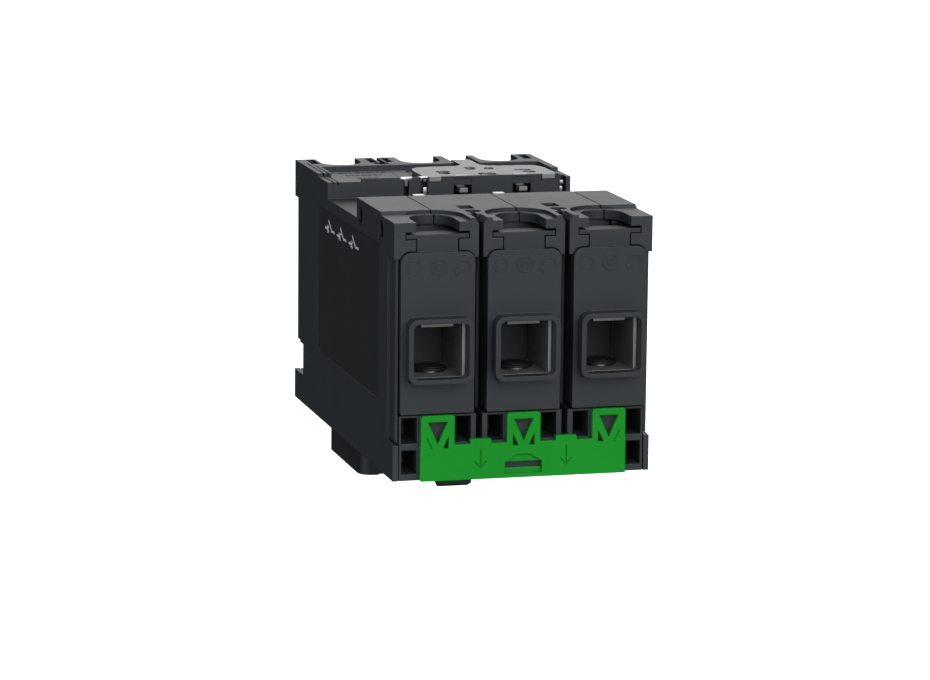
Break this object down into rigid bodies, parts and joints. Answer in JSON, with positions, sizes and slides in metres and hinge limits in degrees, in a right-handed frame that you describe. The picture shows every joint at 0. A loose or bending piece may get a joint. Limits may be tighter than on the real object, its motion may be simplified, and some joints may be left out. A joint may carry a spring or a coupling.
{
  "type": "moulded-case circuit breaker",
  "caption": "Compact DIN-rail moulded-case circuit breaker with a toggle, square cable ports with screw clamps, green lock slides and a sprung rail clip.",
  "frame": {"origin": "centre of the rear plane, midway along the DIN-rail channel", "axes": "+X to the right of someone facing the toggle, +Y out of the rear towards the rail, +Z to the line (supply) end"},
  "size_m": [0.081, 0.1009, 0.149],
  "materials": {
    "case_plastic": "fine moulded grain, dark grey",
    "black_plastic": "satin, near black",
    "green_plastic": "satin, bright green",
    "label_film": "smooth inlay",
    "steel": "zinc plated",
    "plated_metal": "dull plating",
    "copper": "bright copper"
  },
  "bodies": {
    "case": {"base_case": "case_plastic", "front_cover": "case_plastic", "nose_cover": "black_plastic", "side_label_left": "label_film", "side_label_right": "label_film", "case_screw_1": "steel", "case_screw_2": "steel", "case_screw_3": "steel", "case_screw_4": "steel", "lug_housing_line_1": "case_plastic", "lug_cage_line_1": "plated_metal", "lug_housing_line_2": "case_plastic", "lug_cage_line_2": "plated_metal", "lug_housing_line_3": "case_plastic", "lug_cage_line_3": "plated_metal", "lug_housing_load_1": "case_plastic", "lug_cage_load_1": "plated_metal", "lug_housing_load_2": "case_plastic", "lug_cage_load_2": "plated_metal", "lug_housing_load_3": "case_plastic", "lug_cage_load_3": "plated_metal", "line_contact_1": "copper", "bimetal_strap_1": "copper", "braid_1": "copper", "arc_chute_1": "plated_metal", "line_contact_2": "copper", "bimetal_strap_2": "copper", "braid_2": "copper", "arc_chute_2": "plated_metal", "line_contact_3": "copper", "bimetal_strap_3": "copper", "braid_3": "copper", "arc_chute_3": "plated_metal", "mechanism_frame": "plated_metal", "cradle": "steel", "mechanism_spring": "steel", "din_clip_spring": "steel"},
    "toggle": {"toggle": "black_plastic", "toggle_yoke": "plated_metal"},
    "contacts": {"crossbar": "black_plastic", "contact_arm_1": "copper", "contact_arm_2": "copper", "contact_arm_3": "copper"},
    "trip_button": {"trip_button": "black_plastic"},
    "trip_bar": {"trip_bar": "black_plastic"},
    "line_lock": {"line_lock_slide": "green_plastic"},
    "load_lock": {"load_lock_slide": "green_plastic"},
    "rail_clip": {"din_clip": "steel"},
    "pad_line_1": {"lug_pad_line_1": "steel"},
    "screw_line_1": {"lug_screw_line_1": "steel"},
    "pad_line_2": {"lug_pad_line_2": "steel"},
    "screw_line_2": {"lug_screw_line_2": "steel"},
    "pad_line_3": {"lug_pad_line_3": "steel"},
    "screw_line_3": {"lug_screw_line_3": "steel"},
    "pad_load_1": {"lug_pad_load_1": "steel"},
    "screw_load_1": {"lug_screw_load_1": "steel"},
    "pad_load_2": {"lug_pad_load_2": "steel"},
    "screw_load_2": {"lug_screw_load_2": "steel"},
    "pad_load_3": {"lug_pad_load_3": "steel"},
    "screw_load_3": {"lug_screw_load_3": "steel"}
  },
  "joints": [
    {"name": "toggle_swing", "type": "hinge", "parent": "case", "child": "toggle", "pos_m": [0, -0.058, -0.0025], "axis": [-1, 0, 0], "range_deg": [0, 34]},
    {"name": "contact_close", "type": "hinge", "parent": "case", "child": "contacts", "pos_m": [0, -0.034, -0.008], "axis": [-1, 0, 0], "range_deg": [0, 25.2]},
    {"name": "trip_press", "type": "slide", "parent": "case", "child": "trip_button", "axis": [0, 1, 0], "range_m": [0, 0.0025], "stiffness_N_per_m": 300, "springref_m": -0.001},
    {"name": "trip_turn", "type": "hinge", "parent": "case", "child": "trip_bar", "pos_m": [0, -0.046, -0.02], "axis": [-1, 0, 0], "range_deg": [0, 29]},
    {"name": "line_lock_travel", "type": "slide", "parent": "case", "child": "line_lock", "axis": [0, -1, 0], "range_m": [0, 0.006]},
    {"name": "load_lock_travel", "type": "slide", "parent": "case", "child": "load_lock", "axis": [0, -1, 0], "range_m": [0, 0.006]},
    {"name": "rail_clip_travel", "type": "slide", "parent": "case", "child": "rail_clip", "axis": [0, 0, -1], "range_m": [0, 0.005], "stiffness_N_per_m": 500, "springref_m": -0.004, "deforming": ["din_clip_spring"]},
    {"name": "pad_line_1_lift", "type": "slide", "parent": "case", "child": "pad_line_1", "axis": [0, 1, 0], "range_m": [0, 0.01]},
    {"name": "screw_line_1_turn", "type": "hinge", "parent": "pad_line_1", "child": "screw_line_1", "pos_m": [-0.027, -0.0476, 0.059], "axis": [0, 1, 0], "range_deg": [0, 2890]},
    {"name": "pad_line_2_lift", "type": "slide", "parent": "case", "child": "pad_line_2", "axis": [0, 1, 0], "range_m": [0, 0.01]},
    {"name": "screw_line_2_turn", "type": "hinge", "parent": "pad_line_2", "child": "screw_line_2", "pos_m": [0, -0.0476, 0.059], "axis": [0, 1, 0], "range_deg": [0, 2890]},
    {"name": "pad_line_3_lift", "type": "slide", "parent": "case", "child": "pad_line_3", "axis": [0, 1, 0], "range_m": [0, 0.01]},
    {"name": "screw_line_3_turn", "type": "hinge", "parent": "pad_line_3", "child": "screw_line_3", "pos_m": [0.027, -0.0476, 0.059], "axis": [0, 1, 0], "range_deg": [0, 2890]},
    {"name": "pad_load_1_lift", "type": "slide", "parent": "case", "child": "pad_load_1", "axis": [0, 1, 0], "range_m": [0, 0.01]},
    {"name": "screw_load_1_turn", "type": "hinge", "parent": "pad_load_1", "child": "screw_load_1", "pos_m": [-0.027, -0.0476, -0.059], "axis": [0, 1, 0], "range_deg": [0, 2890]},
    {"name": "pad_load_2_lift", "type": "slide", "parent": "case", "child": "pad_load_2", "axis": [0, 1, 0], "range_m": [0, 0.01]},
    {"name": "screw_load_2_turn", "type": "hinge", "parent": "pad_load_2", "child": "screw_load_2", "pos_m": [0, -0.0476, -0.059], "axis": [0, 1, 0], "range_deg": [0, 2890]},
    {"name": "pad_load_3_lift", "type": "slide", "parent": "case", "child": "pad_load_3", "axis": [0, 1, 0], "range_m": [0, 0.01]},
    {"name": "screw_load_3_turn", "type": "hinge", "parent": "pad_load_3", "child": "screw_load_3", "pos_m": [0.027, -0.0476, -0.059], "axis": [0, 1, 0], "range_deg": [0, 2890]}
  ],
  "couplings": [
    {"joint": "contact_close", "follows": "toggle_swing", "ratio": 0.735},
    {"joint": "trip_turn", "follows": "trip_press", "rad_per_m": 200},
    {"joint": "screw_line_1_turn", "follows": "pad_line_1_lift", "rad_per_m": 5026.6},
    {"joint": "screw_line_2_turn", "follows": "pad_line_2_lift", "rad_per_m": 5026.6},
    {"joint": "screw_line_3_turn", "follows": "pad_line_3_lift", "rad_per_m": 5026.6},
    {"joint": "screw_load_1_turn", "follows": "pad_load_1_lift", "rad_per_m": 5026.6},
    {"joint": "screw_load_2_turn", "follows": "pad_load_2_lift", "rad_per_m": 5026.6},
    {"joint": "screw_load_3_turn", "follows": "pad_load_3_lift", "rad_per_m": 5026.6}
  ]
}
